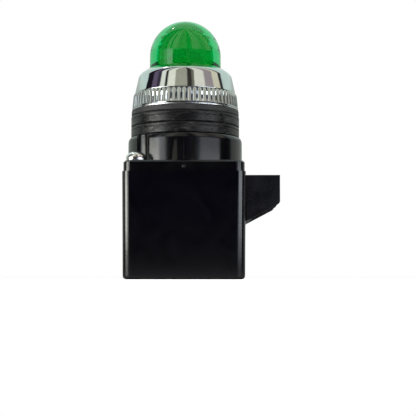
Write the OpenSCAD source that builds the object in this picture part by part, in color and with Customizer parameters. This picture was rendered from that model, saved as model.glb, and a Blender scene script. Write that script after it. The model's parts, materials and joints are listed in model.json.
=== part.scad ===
// Panel pilot light for a 22 mm hole, with its lamp transformer in a square rear case.
// The light's axis is Z and the lens points to +Z. The panel's rear face lies at z = 0,
// with everything that stays behind the panel below it. The terminal block is on the +X side.

/* [Fits] */
// Radial clearance of a screwed or turning fit
thread_clear = 0.08; // [0.02:0.01:0.1]
// Clearance round a piece that drops over or into another
slip_clear = 0.3; // [0.15:0.05:0.5]
// Clearance of a pushed-in or stacked piece
seat_clear = 0.15; // [0.05:0.05:0.3]
// Flat or chamfer that breaks a moulded or turned edge
edge_break = 0.25; // [0.1:0.05:0.4]

/* [Transformer case] */
// Width of the case across its open mouth
case_mouth_w = 32.5; // [31:0.1:36]
// How much narrower the case is across its closed rear end
case_draft = 0.5; // [0:0.05:0.8]
// Height of the case from its rear face to its mouth
case_h = 28.3; // [27.5:0.1:36]
// Thickness of the case's side walls
case_wall = 1.6; // [1.2:0.1:1.8]
// Thickness of the case's rear wall
case_floor = 1.8; // [1.2:0.1:2.4]
// Radius of the case's four long edges
case_corner_r = 2.5; // [2:0.1:4]
// Rounding round the rear face
case_rear_round = 0.8; // [0.3:0.1:1.4]
// Height of the ribs that carry the core inside the case
core_rib_h = 0.8; // [0.4:0.1:1.2]
// Thickness of every locating rib inside the case
case_rib_t = 1.2; // [0.8:0.1:1.6]
// How far a guide rib reaches over the edge of the core
guide_lap = 1.1; // [0.6:0.1:1.6]

/* [Flange and collar] */
// Step from the case's side in to the flange's side
flange_inset = 0.3; // [0:0.1:0.6]
// Thickness of the square flange
flange_h = 2.9; // [2.4:0.1:4]
// Chamfer round the front edge of the flange
flange_chamfer = 0.5; // [0.2:0.1:0.9]
// Depth of the four tabs that locate the flange in the case
spigot_h = 1.6; // [1:0.1:1.8]
// Thickness of a locating tab
spigot_t = 1.3; // [0.8:0.1:1.8]
// Length of a locating tab along its side
spigot_w = 13; // [8:0.5:15]
// Step from the flange's side in to the collar behind the spacers
collar_inset = 0.3; // [0.1:0.05:0.6]
// Height of the collar above the flange
collar_h = 7.4; // [6.4:0.1:10]
// Width of the rounded shoulder round the collar's front edge
shoulder_w = 0.75; // [0.3:0.05:1]
// Height of that shoulder
shoulder_h = 1.4; // [0.6:0.1:2]
// Wall between the collar's outside and its hidden pocket
collar_wall = 2.2; // [1.6:0.1:2.4]
// Thickness of the collar's front wall
collar_top_t = 2; // [1.4:0.1:2.8]
// Thickness of the ribs that cross the hidden pocket
pocket_rib_t = 1.4; // [1:0.1:2]
// Radius of the screwdriver channel above each case screw
driver_channel_r = 3.5; // [3.1:0.1:3.8]
// Radius of the moulding nub on the front side of the flange
nub_r = 0.75; // [0.4:0.05:1]
// How far that nub stands out
nub_out = 0.2; // [0.1:0.05:0.3]

/* [Sleeve] */
// Diameter of the sleeve that passes through the panel
sleeve_d = 21.7; // [21:0.1:22.2]
// Wall between the sleeve's outside and the lens thread
sleeve_wall = 1.95; // [1.6:0.05:2.2]
// Height of the sleeve above the collar
sleeve_h = 15; // [13.5:0.1:16]
// Thickness of the web that carries the lamp socket
web_t = 2; // [1.4:0.1:2.6]
// Depth of the recess under the web, from the flange's rear face
web_recess = 3.1; // [2.6:0.1:3.6]

/* [Spacers and gasket] */
// Step from the collar's side in to the spacer rings
spacer_inset = 0.75; // [0.4:0.05:1.2]
// Thickness of one spacer ring
spacer_h = 3; // [2.5:0.1:4]
// Step from the spacers' side in to the front gasket
gasket_inset = 0.1; // [0:0.05:0.6]
// Thickness of the front gasket
gasket_h = 1.6; // [1.2:0.1:2]
// Depth of the fine groove round each spacer ring
spacer_groove = 0.12; // [0.05:0.01:0.2]

/* [Locking ring] */
// Height of the locking ring without its washer
ring_h = 11.2; // [10.6:0.1:13]
// Diameter over the knurl at the ring's rear edge
ring_base_d = 29.2; // [28.8:0.1:30]
// Diameter over the knurl at its front end
knurl_top_d = 28.4; // [28:0.1:28.8]
// Height of the knurled band
knurl_h = 4.2; // [3.2:0.1:5]
// Number of ribs in the knurl
knurl_count = 64; // [48:1:72]
// Radius of a knurl groove
knurl_groove_r = 0.36; // [0.25:0.01:0.42]
// Height of the rounding at the front end of the knurl
knurl_round = 0.45; // [0.2:0.05:0.7]
// Diameter of the bare cone where it leaves the knurl
cone_base_d = 27.5; // [26.8:0.1:27.8]
// Diameter where the cone and the shoulder would meet
ring_shoulder_d = 25.34; // [24.6:0.02:26]
// Drop from the lip to that meeting point
lip_drop = 1.5; // [1:0.1:2.2]
// Radius that rounds the shoulder
ring_shoulder_r = 2.4; // [1:0.1:2.8]
// Gap between the lip and the lens
lip_gap = 0.3; // [0.25:0.05:0.5]
// Room between the sleeve's front edge and the ledge inside the ring
ring_head_gap = 0.7; // [0.4:0.1:1]
// Thickness of the washer under the ring
washer_h = 0.4; // [0.3:0.05:0.6]
// Diameter of the washer under the ring
washer_d = 29.4; // [28:0.1:29.6]

/* [Lens] */
// Diameter of the lens at its seat
lens_d = 19.7; // [19.3:0.1:20]
// Diameter of the lens where the dome starts
lens_dome_d = 19.5; // [19:0.1:20]
// Height of the lens from its seat to its tip
lens_h = 16.8; // [16:0.1:20]
// Wall of the lens
lens_wall = 2.1; // [1.6:0.1:2.3]
// Wall of the threaded skirt
skirt_wall = 1.6; // [1.2:0.1:1.9]
// Length of the threaded skirt
skirt_h = 5; // [4:0.1:6]
// Height of each step of the diffusing rings inside the dome
diffuser_step = 1.4; // [1:0.1:2]
// Depth of a diffusing ring
diffuser_depth = 0.25; // [0.1:0.05:0.35]
// Thickness of the O-ring under the lens
seal_wire = 1; // [0.8:0.05:1.2]

/* [Lamp and socket] */
// Diameter of the lamp's bayonet base
lamp_base_d = 9.2; // [8.8:0.1:9.6]
// Height of the bayonet base
lamp_base_h = 12.5; // [11.5:0.1:14]
// Diameter of the bulb
bulb_d = 10.4; // [9.8:0.1:12]
// Height of the bulb above its base
bulb_h = 13; // [12:0.1:14]
// Diameter of the bayonet pins
pin_d = 1.8; // [1.5:0.1:2]
// Reach of a bayonet pin out of the base
pin_out = 1.1; // [0.9:0.05:1.3]
// Height of the pins above the lamp's contact
pin_h = 6.7; // [6:0.1:7.5]
// Depth of the black glass and contact below the base
lamp_foot_h = 1.6; // [1.2:0.1:2]
// Sheet thickness of the socket shell
shell_t = 0.4; // [0.3:0.05:0.6]
// Height of the socket shell above the insulator
shell_h = 14.6; // [14:0.1:16]
// Width of the flange at the foot of the shell
shell_flange_w = 2.6; // [2:0.1:3]
// Thickness of the insulator that closes the socket
insulator_t = 1.3; // [1:0.1:1.5]
// Thickness of the sliding contact carrier
carrier_t = 1; // [0.8:0.1:1.4]
// Length of the contact spring as fitted
spring_h = 4.2; // [3.6:0.1:5]
// Wire diameter of the contact spring
spring_wire = 0.45; // [0.35:0.05:0.6]
// Outer diameter of the contact spring
spring_d = 7; // [6:0.1:7.6]
// Turns of the contact spring
spring_turns = 4; // [3:1:5]
// Diameter of the centre contact's stem
stem_d = 1.6; // [1.2:0.1:2]
// Thickness of the centre contact's button
contact_t = 0.5; // [0.4:0.05:0.8]
// Width of the socket's solder tag
tag_w = 2.4; // [1.8:0.1:3]
// Drop of the solder tag below the insulator
tag_drop = 2.2; // [1.8:0.1:2.6]

/* [Transformer] */
// Gap between the core and the case's side walls
core_clear = 0.4; // [0.3:0.05:1]
// Height of the core
core_h = 24; // [22:0.1:24.2]
// Thickness of the stack of laminations
core_stack = 10; // [8:0.1:10.4]
// Width of the core's centre leg
core_leg = 8; // [7:0.1:8.6]
// Width of the core's outer legs and yokes
core_yoke = 4; // [3.5:0.1:4.4]
// Wall of the bobbin
bobbin_t = 0.7; // [0.5:0.05:0.9]
// How far the bobbin reaches beyond the core to each side
bobbin_reach = 4.3; // [3.5:0.1:4.6]
// Share of the bobbin's length under the primary winding
primary_share = 0.66; // [0.55:0.01:0.75]
// How far the windings stay below the bobbin's edge
winding_drop = 0.5; // [0.3:0.1:0.8]
// Diameter of the insulated leads
lead_d = 1; // [0.8:0.05:1.1]

/* [Terminal block] */
// Length of the terminal block along the case
block_l = 27; // [24:0.5:28]
// Reach of the terminal block out from the case
block_out = 8.9; // [8.4:0.1:11]
// Distance from the case's mouth down to the block
block_drop = 0.9; // [0.4:0.1:2]
// Height of the block beside the case
block_inner_h = 12.1; // [11:0.1:14]
// Height of the block's outer side
block_outer_h = 7.4; // [7:0.1:9]
// Radius of the block's rear outer corner
block_corner_r = 1.1; // [0.5:0.1:1.6]
// Thickness of the barriers between the terminals
barrier_t = 1.6; // [1.2:0.1:2]
// Thickness of the block's wall beside the case
block_back_t = 1.5; // [1.2:0.1:2]
// Thickness of the block's front part, which holds the screws
block_head_t = 4; // [3.6:0.1:4.6]
// Radius of the ejector mark on the block's end
mark_r = 0.65; // [0.4:0.05:0.9]
// Distance of the ejector mark from the case
mark_out = 3.1; // [2:0.1:5]
// Distance of the ejector mark below the block's front face
mark_down = 5.2; // [4:0.1:7]
// Depth of the ejector mark
mark_depth = 0.35; // [0.2:0.05:0.5]
// Gap between the block and the case
block_gap = 0.08; // [0.04:0.01:0.2]
// Radius of the block's locating peg
peg_r = 1.1; // [0.8:0.1:1.4]
// Height of the peg below the block's front face
peg_down = 8.4; // [7.5:0.1:9.2]

/* [Terminals and screws] */
// Thickness of the terminal plates and clamps
plate_t = 0.8; // [0.6:0.1:1]
// Width of a terminal plate
plate_w = 7; // [6.6:0.1:8]
// Width of a plate's tail through the case's wall
tail_w = 2; // [1.6:0.1:2.2]
// Length of the tail inside the case
tail_in = 1.6; // [1.2:0.1:2]
// Diameter of the terminal screws
terminal_screw_d = 3.5; // [3:0.1:3.6]
// Length of the terminal screws under the head
terminal_screw_l = 4.6; // [4:0.1:5]
// Diameter of the case screws
case_screw_d = 3; // [2.6:0.1:3.2]
// Length of the case screws under the head
case_screw_l = 10; // [8:0.5:12]
// Head diameter of the case screws
case_head_d = 5.3; // [4.8:0.1:5.6]
// Head height of the case screws
case_head_h = 2.5; // [2:0.1:2.8]
// Distance from the case screws to the sides of the case's mouth
case_screw_inset = 3.6; // [3.3:0.1:4]
// Wall of the boss round each case screw
boss_wall = 1.4; // [1.2:0.1:1.8]

/* [Hidden] */
$fn = 96;
SPACERS = 2;
cut = 1;                    // overrun of a cutting solid beyond the face that it cuts
slab = 0.02;                // thickness of a slice inside a hull
arc_steps = 8;              // flats in a rounded corner of an outline

// Levels along the axis, from the panel's rear face
collar_top = -SPACERS * spacer_h;
flange_top = collar_top - collar_h;
case_top = flange_top - flange_h;
case_base = case_top - case_h;
sleeve_top = collar_top + sleeve_h;
washer_z = gasket_h;
ring_z = washer_z + washer_h;
lens_seat = sleeve_top + seal_wire;
web_z = case_top + web_recess;

// Case, flange and collar, each stepped in from the one behind it
case_rear_w = case_mouth_w - case_draft;
case_inner_mouth = case_mouth_w / 2 - case_wall;
flange_w = case_mouth_w - 2 * flange_inset;
flange_corner_r = case_corner_r;
collar_d = flange_w - 2 * collar_inset;
spacer_d = collar_d - 2 * spacer_inset;
gasket_d = spacer_d - 2 * gasket_inset;
screw_xy = case_mouth_w / 2 - case_screw_inset;
boss_r = case_screw_d / 2 + boss_wall;
pilot_r = case_screw_d / 2 + thread_clear;
core_z = case_base + case_floor + core_rib_h;
core_w = case_rear_w - 2 * (case_wall + core_clear);

// Sleeve, lens and ring
sleeve_r = sleeve_d / 2;
bore_r = sleeve_r - sleeve_wall;
recess_r = bore_r + slip_clear;
pocket_inner_r = sleeve_r - edge_break;
pocket_outer_r = collar_d / 2 - collar_wall;
lens_r = lens_d / 2;
dome_r = lens_dome_d / 2;
skirt_r = bore_r - thread_clear;
lip_r = lens_r + lip_gap;
ring_bore_r = sleeve_r + thread_clear;
ring_ledge = sleeve_top + ring_head_gap - ring_z;

// Lamp and socket, stacked from the web down and from the contact up
shell_inner_r = lamp_base_d / 2 + seat_clear;
shell_outer_r = shell_inner_r + shell_t;
shell_z = web_z - shell_t;
spring_z = shell_z;
carrier_z = spring_z + spring_h;
lamp_z = carrier_z + carrier_t + contact_t;
insulator_z = shell_z - insulator_t;
shell_tag_x = shell_outer_r + shell_flange_w - 2 * shell_t;

// Transformer
window_w = (core_w - core_leg - 2 * core_yoke) / 2;
window_h = core_h - 2 * core_yoke;
bobbin_z = core_z + core_yoke + seat_clear;
bobbin_h = window_h - 2 * seat_clear;
bobbin_inner_x = core_leg + 2 * seat_clear;
bobbin_inner_y = core_stack + 2 * seat_clear;
bobbin_outer_x = core_leg + 2 * (window_w - seat_clear);
bobbin_outer_y = core_stack + 2 * bobbin_reach;
winding_h = bobbin_h - 3 * bobbin_t;
primary_h = winding_h * primary_share;
secondary_h = winding_h - primary_h;
primary_z = bobbin_z + bobbin_t;
secondary_z = primary_z + primary_h + bobbin_t;
winding_x = bobbin_outer_x - 2 * winding_drop;
winding_y = bobbin_outer_y - 2 * winding_drop;

// Terminal block
block_top = case_top - block_drop;
block_x = case_half(block_top - case_base) + block_gap;
bay_w = (block_l - 3 * barrier_t) / 2;
bay_y = (bay_w + barrier_t) / 2;
plate_z = block_top - block_head_t;
terminal_x = block_x + (block_out + block_back_t) / 2;
clamp_z = plate_z - 2 * plate_t;
terminal_head_d = terminal_screw_d * 1.8;
terminal_head_h = terminal_screw_d * 0.6;
tail_x = case_inner_mouth - tail_in;
peg_z = block_top - peg_down;
peg_l = case_wall;

// The case screws stand at two opposite corners of the flange
SCREW_CORNERS = [[-1, -1], [1, 1]];

// Half the case's width at a height above its rear face: the sides are drafted
function case_half(h) = (case_rear_w + (case_mouth_w - case_rear_w) * h / case_h) / 2;

function unit(v) = v / norm(v);

// Points of an arc of radius r that rounds the corner b between a and c
function rounded(a, b, c, r) =
    let (
        u = unit(a - b), w = unit(c - b),
        half = acos(u * w) / 2,
        centre = b + unit(u + w) * r / sin(half),
        from = b + u * r / tan(half) - centre,
        to = b + w * r / tan(half) - centre,
        start = atan2(from[1], from[0]),
        turn = atan2(from[0] * to[1] - from[1] * to[0], from * to)
    )
    [for (i = [0 : arc_steps])
        let (a = start + turn * i / arc_steps)
        centre + r * [cos(a), sin(a)]];

// Quarter of an ellipse, from its top round to its outer side
function shoulder_curve(centre, rx, ry) =
    [for (i = [0 : arc_steps]) centre + [rx * sin(90 * i / arc_steps), ry * cos(90 * i / arc_steps)]];

// Square with rounded corners, as an outline
module rounded_square(w, l, r) {
    square([w, l - 2 * r], center = true);
    square([w - 2 * r, l], center = true);
    for (x = [-1, 1], y = [-1, 1]) translate([x * (w / 2 - r), y * (l / 2 - r)]) circle(r, $fn = 48);
}

// Four posts at the corners of a square of width w, the bare frame of a hull
module corner_posts(w, r, h) {
    for (x = [-1, 1], y = [-1, 1])
        translate([x * (w / 2 - r), y * (w / 2 - r), 0]) cylinder(r = r, h = h, $fn = 32);
}

// Tube swept along a path: one polyhedron with a ring of points at each point of the path
module swept_tube(path, r, up = [0, 0, 1], sides = 8) {
    last = len(path) - 1;
    points = [
        for (i = [0 : last])
            let (
                along = unit(path[min(i + 1, last)] - path[max(i - 1, 0)]),
                side = unit(cross(along, up)),
                top = cross(side, along)
            )
            for (k = [0 : sides - 1])
                let (a = 360 * k / sides)
                path[i] + r * (cos(a) * side + sin(a) * top)
    ];
    walls = [
        for (i = [0 : last - 1], k = [0 : sides - 1])
            let (a = i * sides + k, b = i * sides + (k + 1) % sides)
            [a, b, b + sides, a + sides]
    ];
    caps = [[for (k = [sides - 1 : -1 : 0]) k], [for (k = [0 : sides - 1]) last * sides + k]];
    polyhedron(points, concat(walls, caps), convexity = 8);
}

// Pan head with a domed top and a cross recess, seated on z = 0
module pan_head(d, h) {
    rim = h * 0.35;
    difference() {
        rotate_extrude() polygon(concat([[0, 0]], [[d / 2, 0]],
            [for (i = [arc_steps : -1 : 0]) shoulder_curve([0, rim], d / 2, h - rim)[i]]));
        for (a = [0, 90]) rotate(a)
            translate([-d * 0.3, -d * 0.075, h * 0.45]) cube([d * 0.6, d * 0.15, h]);
    }
}

// Flat ring with broken outer edges
module flat_ring(outer_r, inner_r, h, edge) {
    rotate_extrude() polygon([
        [inner_r, 0], [outer_r - edge, 0], [outer_r, edge],
        [outer_r, h - edge], [outer_r - edge, h], [inner_r, h]
    ]);
}

// Drafted block of the case, with its rear edges rounded
module case_outside() {
    hull() {
        corner_posts(case_rear_w - 2 * case_rear_round, case_corner_r - case_rear_round * 0.6, slab);
        translate([0, 0, case_rear_round * 0.3])
            corner_posts(case_rear_w - 0.6 * case_rear_round, case_corner_r, slab);
        translate([0, 0, case_rear_round]) corner_posts(case_rear_w, case_corner_r, slab);
        translate([0, 0, case_h - slab]) corner_posts(case_mouth_w, case_corner_r, slab);
    }
}

module case_inside() {
    inner_r = case_corner_r - case_wall * 0.8;
    hull() {
        translate([0, 0, case_floor])
            corner_posts(2 * (case_half(case_floor) - case_wall), inner_r, slab);
        translate([0, 0, case_h + slab]) corner_posts(2 * case_inner_mouth, inner_r, slab);
    }
}

// Ribs that reach from a side wall over the edges of the core
module guide_ribs() {
    reach = core_w / 2 - guide_lap;
    top = [case_h - spigot_h - edge_break, plate_z - case_base - plate_t - 3 * lead_d];
    for (x = [-1, 1], y = [-1, 1]) {
        h = x < 0 ? top[0] : top[1];
        outer = case_half(case_floor) - case_wall / 2;
        translate([
            x < 0 ? -outer : reach,
            y * (core_stack / 2 + seat_clear + case_rib_t / 2) - case_rib_t / 2,
            case_floor - slab
        ]) cube([outer - reach, case_rib_t, h - case_floor]);
    }
}

module transformer_case() color("#101114") translate([0, 0, case_base]) difference() {
    union() {
        difference() {
            case_outside();
            case_inside();
        }
        intersection() {
            case_outside();
            for (s = SCREW_CORNERS) translate([s[0] * screw_xy, s[1] * screw_xy, case_floor - slab])
                cylinder(r = boss_r, h = case_h - case_floor);
        }
        for (y = [-1, 1]) translate([-core_w / 4, y * core_stack / 4 - case_rib_t / 2, case_floor - slab])
            cube([core_w / 2, case_rib_t, core_rib_h + slab]);
        guide_ribs();
    }
    for (s = SCREW_CORNERS) translate([s[0] * screw_xy, s[1] * screw_xy, case_h - case_screw_l])
        cylinder(r = pilot_r, h = case_screw_l + cut);
    for (y = [-1, 1]) translate([case_inner_mouth, y * bay_y, plate_z - case_base - plate_t / 2])
        cube([case_wall * 4, tail_w + 2 * seat_clear, plate_t + 2 * seat_clear], center = true);
    translate([case_inner_mouth - cut, 0, peg_z - case_base]) rotate([0, 90, 0])
        cylinder(r = peg_r + seat_clear, h = case_wall + 2 * cut);
}

// Square plate with a chamfered front edge, and the tabs that drop into the case
module flange_plate() {
    hull() {
        corner_posts(flange_w, flange_corner_r, flange_h - flange_chamfer);
        corner_posts(flange_w - 2 * flange_chamfer, flange_corner_r - flange_chamfer / 2, flange_h);
    }
    for (a = [0 : 90 : 270]) rotate(a)
        translate([-spigot_w / 2, case_inner_mouth - seat_clear * 2 - spigot_t, -spigot_h])
            cube([spigot_w, spigot_t, spigot_h + slab]);
    translate([0, -flange_w / 2 - nub_out + nub_r, flange_h * 0.4]) sphere(nub_r, $fn = 24);
}

module barrel() color("#0d0e11") difference() {
    union() {
        translate([0, 0, case_top]) flange_plate();
        translate([0, 0, flange_top - slab]) rotate_extrude() polygon(concat(
            [[0, 0], [collar_d / 2, 0]],
            [for (i = [arc_steps : -1 : 0]) shoulder_curve(
                [collar_d / 2 - shoulder_w, collar_h + slab - shoulder_h], shoulder_w, shoulder_h)[i]],
            [
                [sleeve_r, collar_h + slab], [sleeve_r, collar_h + slab + sleeve_h - 2 * edge_break],
                [sleeve_r - 2 * edge_break, collar_h + slab + sleeve_h], [0, collar_h + slab + sleeve_h]
            ]
        ));
    }
    translate([0, 0, web_z + web_t]) cylinder(r = bore_r, h = sleeve_top - web_z);
    translate([0, 0, web_z - cut]) cylinder(r = shell_outer_r + seat_clear, h = web_t + 2 * cut);
    translate([0, 0, case_top - spigot_h - cut])
        cylinder(r = recess_r, h = web_z - case_top + spigot_h + cut);
    difference() {
        translate([0, 0, case_top - cut])
            cylinder(r = pocket_outer_r, h = collar_top - collar_top_t - case_top + cut);
        translate([0, 0, case_top - 2 * cut]) cylinder(r = pocket_inner_r, h = sleeve_top - case_top);
        for (a = [0, 90]) rotate(a)
            translate([-pocket_outer_r, -pocket_rib_t / 2, case_top - 2 * cut])
                cube([2 * pocket_outer_r, pocket_rib_t, sleeve_top - case_top]);
    }
    for (s = SCREW_CORNERS) translate([s[0] * screw_xy, s[1] * screw_xy, 0]) {
        translate([0, 0, flange_top]) cylinder(r = driver_channel_r, h = collar_h + cut);
        translate([0, 0, case_top - cut]) cylinder(r = pilot_r + seat_clear, h = flange_h + 2 * cut);
    }
}

module case_screws() color("#d9dbdc") for (s = SCREW_CORNERS)
    translate([s[0] * screw_xy, s[1] * screw_xy, flange_top]) {
        pan_head(case_head_d, case_head_h);
        translate([0, 0, slab - case_screw_l + 2 * thread_clear])
            cylinder(r = case_screw_d / 2, h = case_screw_l - 2 * thread_clear);
    }

// Spacer ring number i, counted from the collar
module spacer(i) color("#1b1c1e") translate([0, 0, collar_top + i * spacer_h]) difference() {
    flat_ring(spacer_d / 2, sleeve_r + slip_clear, spacer_h, edge_break);
    translate([0, 0, spacer_h * 0.62]) difference() {
        cylinder(r = spacer_d / 2 + cut, h = spacer_groove * 2);
        translate([0, 0, -cut]) cylinder(r = spacer_d / 2 - spacer_groove, h = 2 * cut);
    }
}

module front_gasket() color("#232425")
    flat_ring(gasket_d / 2, sleeve_r + slip_clear, gasket_h, edge_break);

module ring_washer() color("#c9ccce") translate([0, 0, washer_z])
    flat_ring(washer_d / 2, sleeve_r + slip_clear, washer_h, edge_break / 4);

// Outside of the locking ring before knurling
module ring_blank() {
    corner = [ring_shoulder_d / 2, ring_h - lip_drop];
    lip = [lip_r + edge_break, ring_h];
    foot = [cone_base_d / 2, knurl_h];
    rotate_extrude() polygon(concat(
        [[lip_r, ring_h], lip],
        rounded(lip, corner, foot, ring_shoulder_r),
        [foot, [knurl_top_d / 2 - knurl_round * 0.6, knurl_h], [knurl_top_d / 2, knurl_h - knurl_round]],
        [[ring_base_d / 2, edge_break * 2], [ring_base_d / 2 - edge_break / 2, 0], [lip_r, 0]]
    ));
}

module locking_ring() color("#dfe3e3") translate([0, 0, ring_z]) {
    lean = atan((ring_base_d - knurl_top_d) / 2 / (knurl_h - knurl_round));
    difference() {
        ring_blank();
        translate([0, 0, -cut]) cylinder(r = ring_bore_r, h = ring_ledge + cut);
        for (i = [0 : knurl_count - 1]) rotate(360 * i / knurl_count)
            translate([ring_base_d / 2 + knurl_groove_r * 0.15, 0, edge_break * 2]) rotate([0, -lean, 0])
                cylinder(r = knurl_groove_r, h = knurl_h + knurl_round, $fn = 16);
    }
}

module lens_seal() color("#3a2a1c") translate([0, 0, sleeve_top + seal_wire / 2])
    rotate_extrude() translate([lens_r - seal_wire / 2, 0]) circle(seal_wire / 2 - slab, $fn = 32);

module lens() color("#0a9a35", 0.75) translate([0, 0, lens_seat]) {
    centre = lens_h - dome_r;
    cavity_r = dome_r - lens_wall;
    skirt_inner = skirt_r - skirt_wall;
    rotate_extrude() difference() {
        union() {
            translate([0, centre]) intersection() {
                circle(dome_r);
                square(dome_r + cut);
            }
            polygon([
                [0, -skirt_h], [skirt_r - edge_break, -skirt_h], [skirt_r, edge_break - skirt_h],
                [skirt_r, 0], [lens_r, 0], [dome_r, centre + slab], [0, centre + slab]
            ]);
        }
        translate([0, -skirt_h - cut]) square([skirt_inner, skirt_h + 2 * cut]);
        square([cavity_r, centre]);
        translate([0, centre - slab]) intersection() {
            circle(cavity_r);
            square(cavity_r + cut);
        }
        for (i = [0, 1]) translate([0, centre + i * diffuser_step])
            square([sqrt(pow(cavity_r, 2) - pow(i * diffuser_step, 2)) + diffuser_depth * (1 - i / 2),
                diffuser_step]);
        translate([-2 * dome_r, -lens_h]) square([2 * dome_r, 3 * lens_h]);
    }
}

module bulb() color("#e8e6da") translate([0, 0, lamp_z + lamp_foot_h + lamp_base_h + seat_clear])
    rotate_extrude() intersection() {
        union() {
            translate([0, bulb_h - bulb_d / 2]) circle(bulb_d / 2);
            polygon([
                [0, 0], [lamp_base_d / 2 - shell_t, 0], [bulb_d / 2, bulb_d / 2],
                [bulb_d / 2, bulb_h - bulb_d / 2], [0, bulb_h - bulb_d / 2]
            ]);
        }
        square([bulb_d, bulb_h + cut]);
    }

// Bayonet base: a thin brass cap with two side pins
module lamp_base() color("#b58a3a") translate([0, 0, lamp_z + lamp_foot_h]) {
    cylinder(r = lamp_base_d / 2, h = lamp_base_h);
    for (a = [0, 180]) rotate(a) translate([0, 0, pin_h - lamp_foot_h]) rotate([0, 90, 0])
        cylinder(r = pin_d / 2, h = lamp_base_d / 2 + pin_out, $fn = 32);
}

module lamp_foot() color("#1a1a1c") translate([0, 0, lamp_z]) rotate_extrude() polygon([
    [0, 0], [lamp_base_d * 0.14, 0], [lamp_base_d * 0.22, lamp_foot_h * 0.3],
    [lamp_base_d * 0.42, lamp_foot_h - slab], [0, lamp_foot_h - slab]
]);

// Slot for a bayonet pin: down from the rim, round, and up into its seat
module bayonet_slot() {
    slot_r = pin_d / 2 + seat_clear;
    entry = pin_d / 2 + seat_clear / 2;
    run_z = lamp_z + pin_h - slot_r / 2;
    reach = shell_outer_r + cut;
    turn = 40;
    for (a = [0 : turn / 4 : turn]) rotate(-a) translate([0, 0, run_z])
        rotate([0, 90, 0]) cylinder(r = slot_r, h = reach, $fn = 24);
    translate([0, -entry, run_z]) cube([reach, 2 * entry, slot_r * 1.5]);
    rotate(-turn) translate([0, -entry, run_z]) cube([reach, 2 * entry, shell_h]);
}

module socket_shell() color("#b9923f") {
    difference() {
        union() {
            translate([0, 0, shell_z]) cylinder(r = shell_outer_r, h = shell_h);
            translate([0, 0, shell_z]) cylinder(r = shell_outer_r + shell_flange_w, h = shell_t - slab);
        }
        translate([0, 0, shell_z - cut]) cylinder(r = shell_inner_r, h = shell_h + 2 * cut);
        for (a = [0, 180]) rotate(a) bayonet_slot();
    }
    translate([shell_tag_x, -tag_w / 2, insulator_z - tag_drop])
        cube([shell_t, tag_w, tag_drop + insulator_t + shell_t / 2]);
}

module socket_insulator() color("#5a3a22") difference() {
    translate([0, 0, insulator_z]) cylinder(r = recess_r - thread_clear, h = insulator_t - slab);
    translate([0, 0, insulator_z - cut]) cylinder(r = stem_d / 2 + seat_clear, h = insulator_t + 2 * cut);
    translate([shell_tag_x - seat_clear, -tag_w / 2 - seat_clear, insulator_z - cut])
        cube([shell_t + 2 * seat_clear, tag_w + 2 * seat_clear, insulator_t + 2 * cut]);
}

module contact_spring() color("#c8cacc") {
    coil_r = (spring_d - spring_wire) / 2;
    rise = spring_h - spring_wire - 2 * slab;
    steps = 16 * spring_turns;
    swept_tube([for (i = [0 : steps])
        [
            coil_r * cos(360 * spring_turns * i / steps), coil_r * sin(360 * spring_turns * i / steps),
            spring_z + spring_wire / 2 + slab + rise * i / steps
        ]], spring_wire / 2, sides = 6);
}

module contact_carrier() color("#7a4a28") translate([0, 0, carrier_z]) difference() {
    cylinder(r = shell_inner_r - seat_clear, h = carrier_t);
    translate([0, 0, -cut]) cylinder(r = stem_d / 2 + seat_clear, h = carrier_t + 2 * cut);
}

module centre_contact() color("#c49a45") {
    translate([0, 0, carrier_z + carrier_t + slab])
        cylinder(r = lamp_base_d * 0.3, h = contact_t - 2 * slab);
    translate([0, 0, insulator_z - tag_drop])
        cylinder(r = stem_d / 2, h = carrier_z + carrier_t + 2 * slab - insulator_z + tag_drop);
}

// Outline of the core's E, standing on its back
module e_outline() difference() {
    translate([-core_w / 2, 0]) square([core_w, core_h - core_yoke]);
    for (x = [-1, 1]) translate([x * (core_leg + window_w) / 2 - window_w / 2, core_yoke])
        square([window_w, window_h + cut]);
}

module core_e_stack() color("#6d7073") translate([0, core_stack / 2, core_z])
    rotate([90, 0, 0]) linear_extrude(core_stack) e_outline();

module core_i_stack() color("#6d7073") translate([0, core_stack / 2, core_z + core_h - core_yoke])
    rotate([90, 0, 0]) linear_extrude(core_stack) translate([-core_w / 2, slab]) square([core_w, core_yoke]);

module bobbin() color("#d8d2c0") difference() {
    union() {
        translate([0, 0, bobbin_z + bobbin_h / 2])
            cube([bobbin_inner_x + 2 * bobbin_t, bobbin_inner_y + 2 * bobbin_t, bobbin_h], center = true);
        for (z = [bobbin_z, secondary_z - bobbin_t, bobbin_z + bobbin_h - bobbin_t])
            translate([-bobbin_outer_x / 2, -bobbin_outer_y / 2, z])
                cube([bobbin_outer_x, bobbin_outer_y, bobbin_t]);
    }
    translate([0, 0, bobbin_z + bobbin_h / 2])
        cube([bobbin_inner_x, bobbin_inner_y, bobbin_h + 2 * cut], center = true);
}

// Winding that fills the bobbin between two of its flanges
module winding(z, h) translate([0, 0, z + slab]) linear_extrude(h - 2 * slab) difference() {
    rounded_square(winding_x, winding_y, winding_drop * 3);
    square([bobbin_inner_x + 2 * bobbin_t + 2 * slab, bobbin_inner_y + 2 * bobbin_t + 2 * slab], center = true);
}

module primary_winding() color("#9c4f22") winding(primary_z, primary_h);

module secondary_winding() color("#c07a35") winding(secondary_z, secondary_h);

// Leads from the primary winding to the tails of the terminal plates
module primary_leads() color("#c8a020") for (y = [-1, 1]) swept_tube([
    [winding_x / 2 - 3 * lead_d, y * (winding_y / 2 + lead_d / 2 + slab), primary_z + primary_h * 0.6],
    [winding_x / 2 - lead_d, y * (bobbin_outer_y / 2 + lead_d), primary_z + primary_h * 0.8],
    [winding_x / 2 + 2 * lead_d, y * bobbin_outer_y / 2, secondary_z],
    [tail_x + tail_in / 3, y * (bay_y + lead_d * 0.8), plate_z - plate_t - lead_d * 1.6],
    [tail_x + tail_in / 2, y * bay_y, plate_z - plate_t - lead_d / 2 - slab]
], lead_d / 2);

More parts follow.
